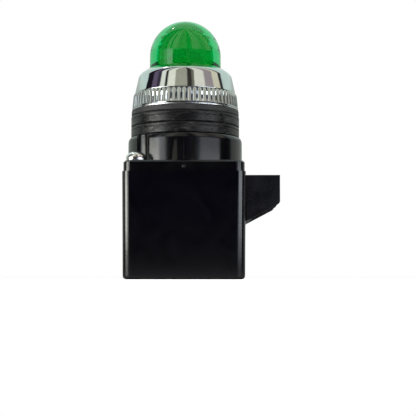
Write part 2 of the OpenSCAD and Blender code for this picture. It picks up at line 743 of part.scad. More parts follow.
// Leads from the secondary winding up to the tags of the lamp socket
module secondary_leads() color("#e0e0da") {
    start_y = winding_y / 2 + lead_d / 2 + slab;
    rim_y = bobbin_outer_y / 2 + lead_d;
    above = core_z + core_h + lead_d;
    tag_side_x = shell_tag_x + shell_t + lead_d / 2 + slab;
    swept_tube([
        [2 * lead_d, start_y, secondary_z + secondary_h / 2],
        [2.5 * lead_d, rim_y, secondary_z + secondary_h],
        [3 * lead_d, rim_y, above - lead_d], [tag_side_x, tag_w, above],
        [tag_side_x, 0, insulator_z - tag_drop / 2]
    ], lead_d / 2, [1, 0, 0]);
    swept_tube([
        [-2 * lead_d, -start_y, secondary_z + secondary_h / 2],
        [-2.5 * lead_d, -rim_y, secondary_z + secondary_h],
        [-2.5 * lead_d, -rim_y, above - lead_d], [-2 * lead_d, -stem_d * 2, above],
        [0, -stem_d / 2 - lead_d / 2 - slab, insulator_z - tag_drop / 2]
    ], lead_d / 2, [1, 0, 0]);
}

// Side outline of a barrier, from the case out and from the block's front face down
module barrier_outline() {
    corner = [block_out, -block_outer_h];
    polygon(concat([[0, -block_inner_h], [0, 0], [block_out, 0]],
        rounded([block_out, 0], corner, [0, -block_inner_h], block_corner_r)));
}

module terminal_block() color("#15171a") translate([block_x, 0, block_top]) difference() {
    union() {
        translate([0, block_l / 2, 0]) rotate([90, 0, 0]) linear_extrude(block_l) barrier_outline();
        translate([-peg_l, 0, peg_z - block_top]) rotate([0, 90, 0]) cylinder(r = peg_r, h = peg_l + cut);
    }
    for (y = [-1, 1]) translate([0, y * bay_y, 0]) {
        translate([block_back_t, -bay_w / 2, -block_inner_h - cut])
            cube([block_out, bay_w, block_inner_h - block_head_t + cut]);
        translate([-cut, -tail_w / 2 - seat_clear, -block_head_t - plate_t - seat_clear])
            cube([block_back_t + 2 * cut, tail_w + 2 * seat_clear, plate_t + seat_clear]);
        translate([terminal_x - block_x, 0, -block_head_t - cut])
            cylinder(r = terminal_screw_d / 2 + seat_clear, h = terminal_screw_l - 2 * plate_t + 1.5 * cut);
    }
    for (y = [-1, 1]) translate([mark_out, y * block_l / 2, -mark_down]) rotate([90, 0, 0])
        cylinder(r = mark_r, h = 2 * mark_depth, center = true, $fn = 32);
}

// Terminal plate under the block's head, with a tail that runs into the case
module terminal_plates() color("#c8a24a") for (y = [-1, 1]) translate([0, y * bay_y, plate_z - plate_t])
    difference() {
        union() {
            translate([block_x + block_back_t + slab, -plate_w / 2, 0])
                cube([block_out - block_back_t - 2 * edge_break, plate_w, plate_t - slab]);
            translate([tail_x, -tail_w / 2, 0])
                cube([block_x + 2 * block_back_t - tail_x, tail_w, plate_t - slab]);
        }
        translate([terminal_x, 0, -cut]) cylinder(r = terminal_screw_d / 2 + seat_clear, h = plate_t + 2 * cut);
    }

// Square clamp held under each terminal screw
module terminal_clamps() color("#c9ccce") for (y = [-1, 1]) translate([terminal_x, y * bay_y, clamp_z])
    difference() {
        translate([-terminal_head_d / 2, -plate_w / 2, 0]) cube([terminal_head_d, plate_w, plate_t - slab]);
        translate([0, 0, -cut]) cylinder(r = terminal_screw_d / 2 + seat_clear, h = plate_t + 2 * cut);
    }

module terminal_screws() color("#d4c08a") for (y = [-1, 1])
    translate([terminal_x, y * bay_y, clamp_z - slab]) mirror([0, 0, 1]) {
        pan_head(terminal_head_d, terminal_head_h);
        translate([0, 0, slab - terminal_screw_l]) cylinder(r = terminal_screw_d / 2, h = terminal_screw_l);
    }

transformer_case();
barrel();
case_screws();
spacer(0);  // spacer_lower
spacer(1);  // spacer_upper
front_gasket();
ring_washer();
locking_ring();
lens_seal();
lens();
bulb();
lamp_base();
lamp_foot();
socket_shell();
socket_insulator();
contact_spring();
contact_carrier();
centre_contact();
core_e_stack();
core_i_stack();
bobbin();
primary_winding();
secondary_winding();
primary_leads();
secondary_leads();
terminal_block();
terminal_plates();
terminal_clamps();
terminal_screws();
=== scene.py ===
"""Looks of a panel pilot light: domed green lens, knurled chrome ring, black rear case.

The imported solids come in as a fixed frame. Each sub-assembly class below dresses its own
solids with a procedural finish, or builds a finer piece that stands for them. All sizes in
the dataclasses are millimetres in the frame of the solids and are scaled once on the way in.
"""

import json
import logging
import math
from dataclasses import dataclass, field
from enum import Enum
from typing import Optional, Sequence

import bmesh
import bpy
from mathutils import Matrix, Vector

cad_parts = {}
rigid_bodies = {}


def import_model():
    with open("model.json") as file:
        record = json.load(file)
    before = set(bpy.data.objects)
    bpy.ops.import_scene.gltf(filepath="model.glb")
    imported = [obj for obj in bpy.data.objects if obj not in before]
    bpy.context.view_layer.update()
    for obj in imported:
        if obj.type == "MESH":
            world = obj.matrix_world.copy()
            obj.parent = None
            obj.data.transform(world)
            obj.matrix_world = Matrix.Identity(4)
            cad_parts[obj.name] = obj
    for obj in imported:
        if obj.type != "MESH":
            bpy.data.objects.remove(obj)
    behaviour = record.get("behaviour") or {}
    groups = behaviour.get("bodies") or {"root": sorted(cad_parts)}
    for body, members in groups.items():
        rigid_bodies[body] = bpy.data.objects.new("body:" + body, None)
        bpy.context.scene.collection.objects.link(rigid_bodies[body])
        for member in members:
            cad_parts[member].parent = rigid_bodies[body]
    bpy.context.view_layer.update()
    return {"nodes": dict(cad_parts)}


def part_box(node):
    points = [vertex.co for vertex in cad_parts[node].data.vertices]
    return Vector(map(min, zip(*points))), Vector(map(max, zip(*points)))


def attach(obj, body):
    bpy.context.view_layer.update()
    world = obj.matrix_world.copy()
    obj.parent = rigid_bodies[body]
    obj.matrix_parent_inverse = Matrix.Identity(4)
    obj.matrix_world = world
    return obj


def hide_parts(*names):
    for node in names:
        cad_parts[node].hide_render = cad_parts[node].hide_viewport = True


LOG = logging.getLogger("pilot_light")
MM = 0.001
MERGE = 2e-7
WHITE = (1.0, 1.0, 1.0, 1.0)
SHADE = (0.50, 0.55, 0.51)
PAPER = (0.74, 0.88, 0.84)
Socket = bpy.types.NodeSocket
Material = bpy.types.Material
Thing = bpy.types.Object
Colour = tuple[float, float, float]
Stops = Sequence[tuple[float, Colour]]
Profile = list[tuple[float, float]]

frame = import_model()


class Body(Enum):
    """The rigid bodies that a piece can ride on."""

    ROOT = "root"
    RING = "locking_ring"
    LENS = "lens"


class TreeEditor:
    """A node tree, with short calls to add and join its nodes."""

    def __init__(self, tree: bpy.types.NodeTree) -> None:
        """Take up a tree.

        Args:
            tree: The node tree.
        """
        self.tree = tree

    def feed(self, target: Socket, value: object) -> None:
        """Join an output to an input, or set the input to a plain value.

        Args:
            target: The input.
            value: An output socket or a value.
        """
        if isinstance(value, Socket):
            self.tree.links.new(value, target)
        else:
            target.default_value = value

    def add(self, kind: str, **inputs: object) -> bpy.types.Node:
        """Add a node, and join or set its inputs.

        Args:
            kind: The node's type.
            inputs: Input names, with _ for a space, and an output socket or a value for each.

        Returns:
            The node.
        """
        node = self.tree.nodes.new(kind)
        for label, value in inputs.items():
            self.feed(node.inputs[label.replace("_", " ")], value)
        return node

    def maths(self, operation: str, *values: object) -> Socket:
        """One step of arithmetic on sockets or numbers."""
        node = self.add("ShaderNodeMath")
        node.operation = operation
        for target, value in zip(node.inputs, values):
            self.feed(target, value)
        return node.outputs[0]

    def mixed(self, factor: Socket, a: object, b: object) -> Socket:
        """A mix of two colours, all a at 0 and all b at 1."""
        node = self.add("ShaderNodeMix")
        node.data_type = "RGBA"
        for place, value in ((0, factor), (6, a), (7, b)):
            self.feed(node.inputs[place], value)
        return node.outputs[2]

    def tinted(self, value: Socket, stops: Stops) -> Socket:
        """A value turned into a colour.

        Args:
            value: The value that picks the colour.
            stops: Pairs of position and colour.

        Returns:
            The colour.
        """
        node = self.add("ShaderNodeValToRGB", Fac=value)
        ramp = node.color_ramp
        ramp.elements[0].position, ramp.elements[-1].position = stops[0][0], stops[-1][0]
        ramp.elements[0].color = (*stops[0][1], 1.0)
        ramp.elements[-1].color = (*stops[-1][1], 1.0)
        for at, colour in stops[1:-1]:
            ramp.elements.new(at).color = (*colour, 1.0)
        return node.outputs["Color"]


class ShaderSheet(TreeEditor):
    """A material's node tree, with short calls for what the finishes share."""

    def __init__(self, name: str) -> None:
        """Start an empty material.

        Args:
            name: Name of the material.
        """
        self.material = bpy.data.materials.new(name)
        self.material.use_nodes = True
        super().__init__(self.material.node_tree)
        self.tree.nodes.clear()
        self.surface = self.add("ShaderNodeBsdfPrincipled")
        self.add("ShaderNodeOutputMaterial", Surface=self.surface.outputs["BSDF"])
        self.coords = self.add("ShaderNodeTexCoord").outputs["Object"]

    def setting(self, **values: object) -> None:
        """Set or join the surface shader's own inputs.

        Args:
            values: Input names, with _ for a space, and a value or an output socket for each.
        """
        for name, value in values.items():
            self.feed(self.surface.inputs[name.replace("_", " ")], value)

    def stretched(self, scale: Sequence[float]) -> Socket:
        """The object's coordinates, stretched by a factor on X, Y and Z."""
        return self.add("ShaderNodeMapping", Scale=tuple(scale), Vector=self.coords).outputs["Vector"]

    def noise(
        self,
        grain_mm: float,
        detail: float = 4.0,
        coords: Optional[Socket] = None,
        distortion: float = 0.0,
    ) -> Socket:
        """Cloudy noise of a real grain size.

        Args:
            grain_mm: Size of one blotch.
            detail: Number of finer layers.
            coords: Coordinates to use instead of the object's own.
            distortion: How far the blotches are pulled about.

        Returns:
            The noise value.
        """
        node = self.add(
            "ShaderNodeTexNoise",
            Scale=1.0 / (grain_mm * MM),
            Detail=detail,
            Distortion=distortion,
            Vector=coords or self.coords,
        )
        return node.outputs["Fac"]

    def bands(self, pitch_mm: float, wobble: float = 0.0) -> Socket:
        """Level lines of a real pitch, one above another.

        Args:
            pitch_mm: Distance from line to line.
            wobble: How uneven the lines are.

        Returns:
            The line value, 0 to 1.
        """
        node = self.add(
            "ShaderNodeTexWave",
            Scale=math.pi / (10.0 * pitch_mm * MM),
            Distortion=wobble,
            Detail=1.0,
            Vector=self.coords,
        )
        node.wave_type = "BANDS"
        node.bands_direction = "Z"
        return node.outputs["Fac"]

    def sums(self, a: Socket, b: Socket, share: float) -> Socket:
        """a plus a share of b."""
        return self.maths("MULTIPLY_ADD", b, share, a)

    def paint(self, value: Socket, stops: Stops) -> None:
        """Colour the surface by a value."""
        self.setting(Base_Color=self.tinted(value, stops))

    def polish(self, value: Socket, stops: Sequence[tuple[float, float]]) -> None:
        """Set how rough the surface is by a value."""
        self.setting(Roughness=self.tinted(value, [(at, (grey, grey, grey)) for at, grey in stops]))

    def bump(self, height: Socket, depth_mm: float, strength: float = 1.0) -> None:
        """Raise and sink the surface's normals.

        Args:
            height: Relief, 0 to 1.
            depth_mm: Depth of the full relief.
            strength: Share of the effect.
        """
        node = self.add("ShaderNodeBump", Strength=strength, Distance=depth_mm * MM, Height=height)
        self.setting(Normal=node.outputs["Normal"])


@dataclass(frozen=True)
class MouldedPlastic:
    """Black moulded plastic: near-black body colour, a skin of fine grain and faint flow."""

    name: str
    dark: Colour
    light: Colour
    roughness: tuple[float, float]
    grain_mm: float = 0.25
    relief_mm: float = 0.004
    gloss: float = 0.5

    def material(self) -> Material:
        """Build the material."""
        sheet = ShaderSheet(self.name)
        flow = sheet.noise(7.0, 3.0, distortion=1.2)
        grain = sheet.noise(self.grain_mm, 2.0)
        sheet.paint(flow, [(0.35, self.dark), (0.7, self.light)])
        low, high = self.roughness
        sheet.polish(sheet.sums(flow, grain, 0.35), [(0.4, low), (0.95, high)])
        sheet.setting(Specular_IOR_Level=self.gloss)
        sheet.bump(sheet.sums(grain, flow, 0.6), self.relief_mm)
        return sheet.material


@dataclass(frozen=True)
class FibreRing:
    """Turned fibre: satin black with lathe lines, scuffed grey where it has been handled."""

    name: str
    dark: Colour = (0.003, 0.003, 0.0035)
    dull: Colour = (0.010, 0.010, 0.010)
    scuff: Colour = (0.045, 0.046, 0.042)
    line_pitch_mm: float = 0.23
    scuff_mm: float = 3.2

    def material(self) -> Material:
        """Build the material."""
        sheet = ShaderSheet(self.name)
        rubbed = sheet.noise(self.scuff_mm, 6.0, sheet.stretched((1.0, 1.0, 2.6)), distortion=0.8)
        nicks = sheet.noise(0.5, 3.0, sheet.stretched((1.0, 1.0, 3.0)))
        lines = sheet.bands(self.line_pitch_mm, 0.4)
        wear = sheet.sums(rubbed, nicks, 0.25)
        sheet.paint(wear, [(0.64, self.dark), (0.74, self.dull), (0.88, self.scuff)])
        sheet.polish(wear, [(0.55, 0.26), (0.85, 0.5)])
        sheet.setting(Specular_IOR_Level=0.42)
        sheet.bump(sheet.sums(nicks, lines, 0.3), 0.02, 0.8)
        return sheet.material


@dataclass(frozen=True)
class Metal:
    """Plated or bare metal with handling marks, and turning lines if it has been turned."""

    name: str
    colour: Colour
    stain: Colour
    roughness: tuple[float, float]
    line_mm: float = 0.0
    relief_mm: float = 0.002
    blotch_mm: float = 2.5
    wave_mm: float = 0.0

    def material(self) -> Material:
        """Build the material."""
        sheet = ShaderSheet(self.name)
        blotch = sheet.noise(self.blotch_mm, 5.0, distortion=0.6)
        fine = sheet.noise(0.12, 2.0)
        sheet.paint(blotch, [(0.42, self.colour), (0.85, self.stain)])
        low, high = self.roughness
        sheet.polish(blotch, [(0.4, low), (0.8, high)])
        sheet.setting(Metallic=1.0)
        height = fine
        if self.line_mm:
            height = sheet.sums(fine, sheet.bands(self.line_mm, 0.6), 1.5)
        if self.wave_mm:
            height = sheet.sums(fine, sheet.noise(1.9, 1.0), self.wave_mm / self.relief_mm)
        sheet.bump(height, self.relief_mm)
        return sheet.material


@dataclass(frozen=True)
class ClearGreen:
    """Clear green plastic: light is tinted each time it enters or leaves a wall."""

    name: str = "lens_green"
    tint: Colour = (0.008, 0.53, 0.145)
    index: float = 1.49

    def material(self) -> Material:
        """Build the material."""
        sheet = ShaderSheet(self.name)
        flow = sheet.noise(5.0, 2.0, distortion=1.5)
        r, g, b = self.tint
        sheet.paint(flow, [(0.3, (r * 0.9, g * 0.95, b * 0.9)), (0.7, self.tint)])
        sheet.polish(sheet.noise(1.5), [(0.3, 0.02), (0.8, 0.06)])
        sheet.setting(Transmission_Weight=1.0, IOR=self.index)
        sheet.bump(sheet.noise(0.9, 2.0), 0.004)
        return sheet.material


@dataclass(frozen=True)
class ClearGlass:
    """Thin clear glass with faint draw marks."""

    name: str = "bulb_glass"
    tint: Colour = (0.97, 0.98, 0.96)

    def material(self) -> Material:
        """Build the material."""
        sheet = ShaderSheet(self.name)
        draw = sheet.noise(2.0, 2.0, sheet.stretched((1.0, 1.0, 0.3)))
        r, g, b = self.tint
        sheet.paint(draw, [(0.3, (r * 0.98, g, b)), (0.7, self.tint)])
        sheet.setting(Transmission_Weight=1.0, IOR=1.5, Roughness=0.01)
        sheet.bump(draw, 0.004)
        return sheet.material


@dataclass(frozen=True)
class Wound:
    """A winding: enamelled wire, turn beside turn, with painted shade in the grooves between turns."""

    name: str
    wire: Colour
    # The second colour is painted shade: a darker copy of the wire colour for the grooves between turns.
    groove_shade: Colour
    wire_mm: float

    def material(self) -> Material:
        """Build the material."""
        sheet = ShaderSheet(self.name)
        turns = sheet.bands(self.wire_mm, 0.5)
        # Painted shade in the grooves between turns, the wire colour on the turns.
        sheet.paint(turns, [(0.05, self.groove_shade), (0.35, self.wire)])
        sheet.polish(sheet.noise(1.2), [(0.3, 0.24), (0.8, 0.4)])
        sheet.setting(Metallic=0.55)
        sheet.bump(turns, self.wire_mm * 0.4)
        return sheet.material


@dataclass(frozen=True)
class SoftCover:
    """Rubber or cast sheet with a dusty, slightly mottled skin."""

    name: str
    colour: Colour
    dust: Colour
    roughness: tuple[float, float] = (0.5, 0.75)
    fibre_mm: float = 0.4

    def material(self) -> Material:
        """Build the material."""
        sheet = ShaderSheet(self.name)
        mottle = sheet.noise(self.fibre_mm, 5.0, distortion=0.5)
        patch = sheet.noise(4.0, 3.0)
        wear = sheet.sums(patch, mottle, 0.4)
        sheet.paint(wear, [(0.55, self.colour), (0.95, self.dust)])
        low, high = self.roughness
        sheet.polish(patch, [(0.35, low), (0.75, high)])
        sheet.bump(mottle, 0.015)
        return sheet.material


# ---------------------------------------------------------------- mesh making


def piece(name: str, data: bpy.types.ID) -> Thing:
    """Link a mesh, light or camera to the scene as a new object at the origin."""
    made = bpy.data.objects.new(name, data)
    bpy.context.scene.collection.objects.link(made)
    return made


def smooth(mesh: bpy.types.Mesh, angle_deg: float = 35.0) -> None:
    """Shade a mesh smoothly, and keep edges sharper than an angle.

    Args:
        mesh: The mesh.
        angle_deg: Angle between faces past which an edge stays sharp.
    """
    mesh.shade_smooth()
    mesh.set_sharp_from_angle(angle=math.radians(angle_deg))


def meshed(name: str, build: bmesh.types.BMesh) -> bpy.types.Mesh:
    """Turn what has been built into a mesh."""
    mesh = bpy.data.meshes.new(name)
    build.to_mesh(mesh)
    build.free()
    return mesh


def skin(name: str, rings: Sequence[Sequence[tuple[float, float, float]]]) -> bpy.types.Mesh:
    """A closed skin over rings of points, one above another.

    Args:
        name: Name of the mesh.
        rings: The rings, all with the same number of points, in mm.

    Returns:
        The mesh.
    """
    build = bmesh.new()
    loops = [[build.verts.new([at * MM for at in point]) for point in ring] for ring in rings]
    for below, above in zip(loops, loops[1:]):
        for step in range(len(below)):
            after = (step + 1) % len(below)
            build.faces.new((below[step], below[after], above[after], above[step]))
    build.faces.new(loops[0])
    build.faces.new(loops[-1])
    bmesh.ops.recalc_face_normals(build, faces=build.faces)
    return meshed(name, build)


def lathe(name: str, outline: Profile, segments: int) -> Thing:
    """Turn an outline round Z.

    Args:
        name: Name of the piece.
        outline: Points of radius and height in mm, counter-clockwise seen with the radius to the
            right, so that every face looks outwards, also inside a hollow.
        segments: Number of steps round the axis.

    Returns:
        The turned piece.
    """
    build = bmesh.new()
    rings: list[list[bmesh.types.BMVert]] = []
    for radius, height in outline:
        if radius < 1e-6:
            rings.append([build.verts.new((0, 0, height * MM))])
            continue
        ring = []
        for step in range(segments):
            angle = 2 * math.pi * step / segments
            x, y = radius * MM * math.cos(angle), radius * MM * math.sin(angle)
            ring.append(build.verts.new((x, y, height * MM)))
        rings.append(ring)
    count = len(rings)
    for index in range(count):
        below, above = rings[index], rings[(index + 1) % count]
        if len(below) == 1 and len(above) == 1:
            continue
        for step in range(segments):
            after = (step + 1) % segments
            if len(below) == 1:
                build.faces.new((below[0], above[after], above[step]))
            elif len(above) == 1:
                build.faces.new((below[step], below[after], above[0]))
            else:
                build.faces.new((below[step], below[after], above[after], above[step]))
    mesh = meshed(name, build)
    smooth(mesh)
    return piece(name, mesh)


def arc(
    centre: tuple[float, float], rx: float, ry: float, start: float, stop: float, steps: int
) -> Profile:
    """Points along part of an ellipse.

    Args:
        centre: Its centre.
        rx: Half-size along the radius.
        ry: Half-size along the height.
        start: First angle in degrees.
        stop: Last angle in degrees.
        steps: Number of steps.

    Returns:
        The points.
    """
    points = []
    for step in range(steps + 1):
        angle = math.radians(start + (stop - start) * step / steps)
        points.append((centre[0] + rx * math.cos(angle), centre[1] + ry * math.sin(angle)))
    return points


def rounded_corner(
    a: Sequence[float], b: Sequence[float], c: Sequence[float], radius: float, steps: int
) -> Profile:
    """Points of the arc that rounds corner b of the outline a, b, c.

    Args:
        a: Point before the corner.
        b: The corner.
        c: Point after it.
        radius: Radius of the rounding.
        steps: Number of steps in the arc.

    Returns:
        The points.
    """
    va, vb, vc = Vector(a), Vector(b), Vector(c)
    u, w = (va - vb).normalized(), (vc - vb).normalized()
    half = u.angle(w) / 2
    centre = vb + (u + w).normalized() * radius / math.sin(half)
    first, last = vb + u * radius / math.tan(half) - centre, vb + w * radius / math.tan(half) - centre
    start = math.atan2(first.y, first.x)
    turn = math.atan2(first.x * last.y - first.y * last.x, first.dot(last))
    points = []
    for step in range(steps + 1):
        angle = start + turn * step / steps
        points.append((centre.x + radius * math.cos(angle), centre.y + radius * math.sin(angle)))
    return points


class TreeMaker(TreeEditor):
    """A geometry node tree with named inputs."""

    def __init__(self, name: str, inputs: dict[str, str]) -> None:
        """Start a tree.

        Args:
            name: Name of the tree.
            inputs: Name of each input and what kind of value it takes.
        """
        super().__init__(bpy.data.node_groups.new(name, "GeometryNodeTree"))
        sockets = self.tree.interface
        sockets.new_socket("Geometry", in_out="OUTPUT", socket_type="NodeSocketGeometry")
        self.ids: dict[str, str] = {}
        for label, kind in inputs.items():
            socket = sockets.new_socket(label, in_out="INPUT", socket_type="NodeSocket" + kind)
            self.ids[label] = socket.identifier
        self.start = self.add("NodeGroupInput")

    def given(self, label: str) -> Socket:
        """The tree's own input of that name."""
        return self.start.outputs[label]

    def copies(self, points: Socket, **placing: object) -> None:
        """Stand the tree's part on every point, and end the tree."""
        part = self.add("GeometryNodeObjectInfo", Object=self.given("Part")).outputs["Geometry"]
        made = self.add("GeometryNodeInstanceOnPoints", Points=points, Instance=part, **placing)
        self.close(made.outputs["Instances"])

    def close(self, geometry: Socket) -> None:
        """End the tree in Realize Instances and Set Material.

        Args:
            geometry: What the tree has made.
        """
        real = self.add("GeometryNodeRealizeInstances", Geometry=geometry)
        dressed = self.add(
            "GeometryNodeSetMaterial", Geometry=real.outputs["Geometry"], Material=self.given("Finish")
        )
        self.add("NodeGroupOutput", Geometry=dressed.outputs["Geometry"])


class Pattern:
    """A node tree that makes what repeats, and turns its result into a plain mesh."""

    maker: TreeMaker

    def make(self, name: str, **values: object) -> Thing:
        """Run the tree once.

        Args:
            name: Name of the piece.
            values: Input names, with _ for a space, and their values.

        Returns:
            The finished piece, a plain mesh.
        """
        host = piece(name + "_host", bpy.data.meshes.new(name + "_host"))
        modifier = host.modifiers.new("pattern", "NODES")
        modifier.node_group = self.maker.tree
        for label, value in values.items():
            modifier[self.maker.ids[label.replace("_", " ")]] = value
        host.update_tag()
        bpy.context.view_layer.update()
        evaluated = host.evaluated_get(bpy.context.evaluated_depsgraph_get())
        mesh = bpy.data.meshes.new_from_object(evaluated)
        mesh.name = name
        host.modifiers.remove(modifier)
        bpy.data.objects.remove(host)
        smooth(mesh, 40.0)
        return piece(name, mesh)


class RoundPattern(Pattern):
    """Copies of one part, evenly spaced round Z."""

    def __init__(self) -> None:
        """Build the tree."""
        maker = TreeMaker("round_pattern", {"Part": "Object", "Count": "Int", "Finish": "Material"})
        points = maker.add("GeometryNodePoints", Count=maker.given("Count"))
        index = maker.add("GeometryNodeInputIndex")
        step = maker.maths("DIVIDE", 2 * math.pi, maker.given("Count"))
        angle = maker.maths("MULTIPLY", index.outputs[0], step)
        turn = maker.add("FunctionNodeAxisAngleToRotation", Axis=(0.0, 0.0, 1.0), Angle=angle)
        maker.copies(points.outputs[0], Rotation=turn.outputs[0])
        self.maker = maker


class RowPattern(Pattern):
    """Copies of one part in a straight row."""

    def __init__(self) -> None:
        """Build the tree."""
        maker = TreeMaker(
            "row_pattern", {"Part": "Object", "Count": "Int", "Step": "Vector", "Finish": "Material"}
        )
        line = maker.add("GeometryNodeMeshLine", Count=maker.given("Count"), Offset=maker.given("Step"))
        maker.copies(line.outputs["Mesh"])
        self.maker = maker


class HelixPattern(Pattern):
    """A wire or a screw thread: a small round section that climbs round Z."""

    def __init__(self) -> None:
        """Build the tree."""
        maker = TreeMaker(
            "helix_pattern",
            {
                "Radius": "Float",
                "Turns": "Float",
                "Rise": "Float",
                "Wire": "Float",
                "Sides": "Int",
                "Base": "Vector",
                "Steps": "Int",
                "Finish": "Material",
            },
        )
        spiral = maker.add(
            "GeometryNodeCurveSpiral",
            Resolution=maker.given("Steps"),
            Rotations=maker.given("Turns"),
            Start_Radius=maker.given("Radius"),
            End_Radius=maker.given("Radius"),
            Height=maker.given("Rise"),
        )
        upright = maker.add("GeometryNodeSetCurveNormal", Curve=spiral.outputs[0])
        upright.mode = "Z_UP"
        section = maker.add(
            "GeometryNodeCurvePrimitiveCircle", Resolution=maker.given("Sides"), Radius=maker.given("Wire")
        )
        tube = maker.add(
            "GeometryNodeCurveToMesh",
            Curve=upright.outputs[0],
            Profile_Curve=section.outputs[0],
            Fill_Caps=True,
        )
        moved = maker.add(
            "GeometryNodeTransform", Geometry=tube.outputs[0], Translation=maker.given("Base")
        )
        maker.close(moved.outputs[0])
        self.maker = maker


@dataclass(frozen=True)
class Helix:
    """Sizes of a wire or thread that climbs round Z."""

    radius: float
    turns: float
    rise: float
    wire: float
    foot: float
    sides: int = 8
    steps: int = 96


@dataclass
class Workshop:
    """What every sub-assembly shares: the patterns, and how a piece is handed to the frame.

    Edges sharper than sharp are rounded, unless they are shorter than shortest_mm: those
    belong to small marks. Faces that meet flatter than flat are joined into one.
    """

    round_pattern: RoundPattern = field(default_factory=RoundPattern)
    row_pattern: RowPattern = field(default_factory=RowPattern)
    helix_pattern: HelixPattern = field(default_factory=HelixPattern)
    sharp: float = math.radians(38)
    flat: float = math.radians(0.6)
    shortest_mm: float = 0.25

    def wind(self, name: str, helix: Helix, finish: Material) -> Thing:
        """Make a wire or a thread.

        Args:
            name: Name of the piece.
            helix: Its sizes.
            finish: Its material.

        Returns:
            The piece.
        """
        return self.helix_pattern.make(
            name,
            Radius=helix.radius * MM,
            Turns=helix.turns,
            Rise=helix.rise * MM,
            Wire=helix.wire * MM,
            Sides=helix.sides,
            Base=(0.0, 0.0, helix.foot * MM),
            Steps=helix.steps,
            Finish=finish,
        )

    def ease(self, node: str, name: str, radius_mm: float, slot: str, finish: Material) -> None:
        """Stand an eased copy in place of a fixed solid.

        Args:
            node: Name of the solid.
            name: Name of the copy.
            radius_mm: Size of the rounding.
            slot: The record's material slot.
            finish: Its material.
        """
        self.fit(self.eased(node, name, radius_mm), Body.ROOT, slot, finish, [node])

    def dress(self, finish: Material, *nodes: str) -> None:
        """Give solids their finish.

        Args:
            finish: The material.
            nodes: Names of the solids.
        """
        for node in nodes:
            mesh = frame["nodes"][node].data
            mesh.materials.clear()
            mesh.materials.append(finish)
            LOG.info("%s dressed in %s", node, finish.name)

    def fit(
        self,
        made: Thing,
        body: Body,
        slot: str,
        finish: Optional[Material] = None,
        stands_for: Sequence[str] = (),
    ) -> None:
        """Hand a finished piece to the frame.

        Args:
            made: The piece.
            body: The body that it rides on.
            slot: The record's material slot; not used.
            finish: Its material, unless it already has one.
            stands_for: Solids that it takes the place of.
        """
        if finish is not None:
            made.data.materials.clear()
            made.data.materials.append(finish)
        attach(made, body.value)
        if stands_for:
            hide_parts(*stands_for)
        LOG.info("%s fitted on %s, %d faces", made.name, body.value, len(made.data.polygons))

    def eased(self, node: str, name: str, radius_mm: float) -> Thing:
        """A copy of a solid whose sharp edges are slightly rounded, as a mould or tool leaves them.

        Args:
            node: Name of the solid.
            name: Name of the copy.
            radius_mm: Size of the rounding.

        Returns:
            The copy.
        """
        build = bmesh.new()
        build.from_mesh(frame["nodes"][node].data)
        bmesh.ops.remove_doubles(build, verts=build.verts, dist=MERGE)
        bmesh.ops.dissolve_limit(
            build, angle_limit=self.flat, verts=build.verts, edges=build.edges, delimit=set()
        )
        weight = build.edges.layers.float.new("bevel_weight_edge")
        for edge in build.edges:
            sharp = len(edge.link_faces) == 2 and edge.calc_face_angle(0.0) > self.sharp
            edge[weight] = float(sharp and edge.calc_length() > self.shortest_mm * MM)
        mesh = meshed(name, build)
        mesh.shade_smooth()
        copy = piece(name, mesh)
        bevel = copy.modifiers.new("ease", "BEVEL")
        bevel.width = radius_mm * MM
        bevel.segments = 3
        bevel.limit_method = "WEIGHT"
        bevel.use_clamp_overlap = True
        self.settle(copy)
        copy.data.set_sharp_from_angle(angle=self.sharp)
        level = copy.modifiers.new("level", "WEIGHTED_NORMAL")
        level.weight = 100
        level.keep_sharp = True
        self.settle(copy)
        return copy

    @staticmethod
    def settle(made: Thing) -> None:
        """Turn a piece's modifiers into plain mesh.

        Args:
            made: The piece.
        """
        bpy.context.view_layer.update()
        done = bpy.data.meshes.new_from_object(made.evaluated_get(bpy.context.evaluated_depsgraph_get()))
        made.modifiers.clear()
        made.data = done
        done.name = made.name


# ---------------------------------------------------------------- sub-assemblies


@dataclass
class RearCase:
    """Square case with its flanged barrel, two case screws and the moulding marks between them."""

    shop: Workshop
    seam_r: float = 0.05
    collar_r: float = 15.65
    seam_foot: float = -13.4
    seam_head: float = -7.3
    seam_levels: int = 12
    seam_sides: int = 6
    thread: Helix = Helix(radius=10.70, turns=6.6, rise=6.6, wire=0.20, foot=1.95)

    def build(self) -> None:
        """Make and dress the pieces."""
        shell = MouldedPlastic(
            "case_black", (0.0008, 0.0008, 0.0018), (0.0016, 0.0016, 0.0030), (0.10, 0.17), relief_mm=0.003
        )
        neck = MouldedPlastic(
            "barrel_black", (0.001, 0.001, 0.0016), (0.0022, 0.0022, 0.0028), (0.09, 0.2), relief_mm=0.005
        )
        nickel = Metal(
            "screw_steel", (0.80, 0.80, 0.78), (0.55, 0.54, 0.52), (0.14, 0.32), blotch_mm=0.8
        )
        neck_finish = neck.material()
        shop = self.shop
        shop.ease("transformer_case", "case_shell", 0.18, "case_black", shell.material())
        shop.ease("barrel", "flanged_barrel", 0.14, "barrel_black", neck_finish)
        shop.ease("case_screws", "case_screw_pair", 0.08, "screw_steel", nickel.material())
        self.seam(neck_finish)
        shop.fit(shop.wind("sleeve_thread", self.thread, neck_finish), Body.ROOT, "barrel_black")

    def seam(self, finish: Material) -> None:
        """The fine line where the two halves of the collar's mould met."""
        rings = []
        for level in range(self.seam_levels + 1):
            z = self.seam_foot + (self.seam_head - self.seam_foot) * level / self.seam_levels
            ring = []
            for corner in range(self.seam_sides):
                angle = 2 * math.pi * corner / self.seam_sides
                x = self.seam_r * math.cos(angle)
                y = self.seam_r * math.sin(angle) - self.collar_r
                ring.append((x, y, z))
            rings.append(ring)
        mesh = skin("collar_seam", rings)
        smooth(mesh)
        self.shop.fit(piece("collar_seam", mesh), Body.ROOT, "barrel_black", finish)


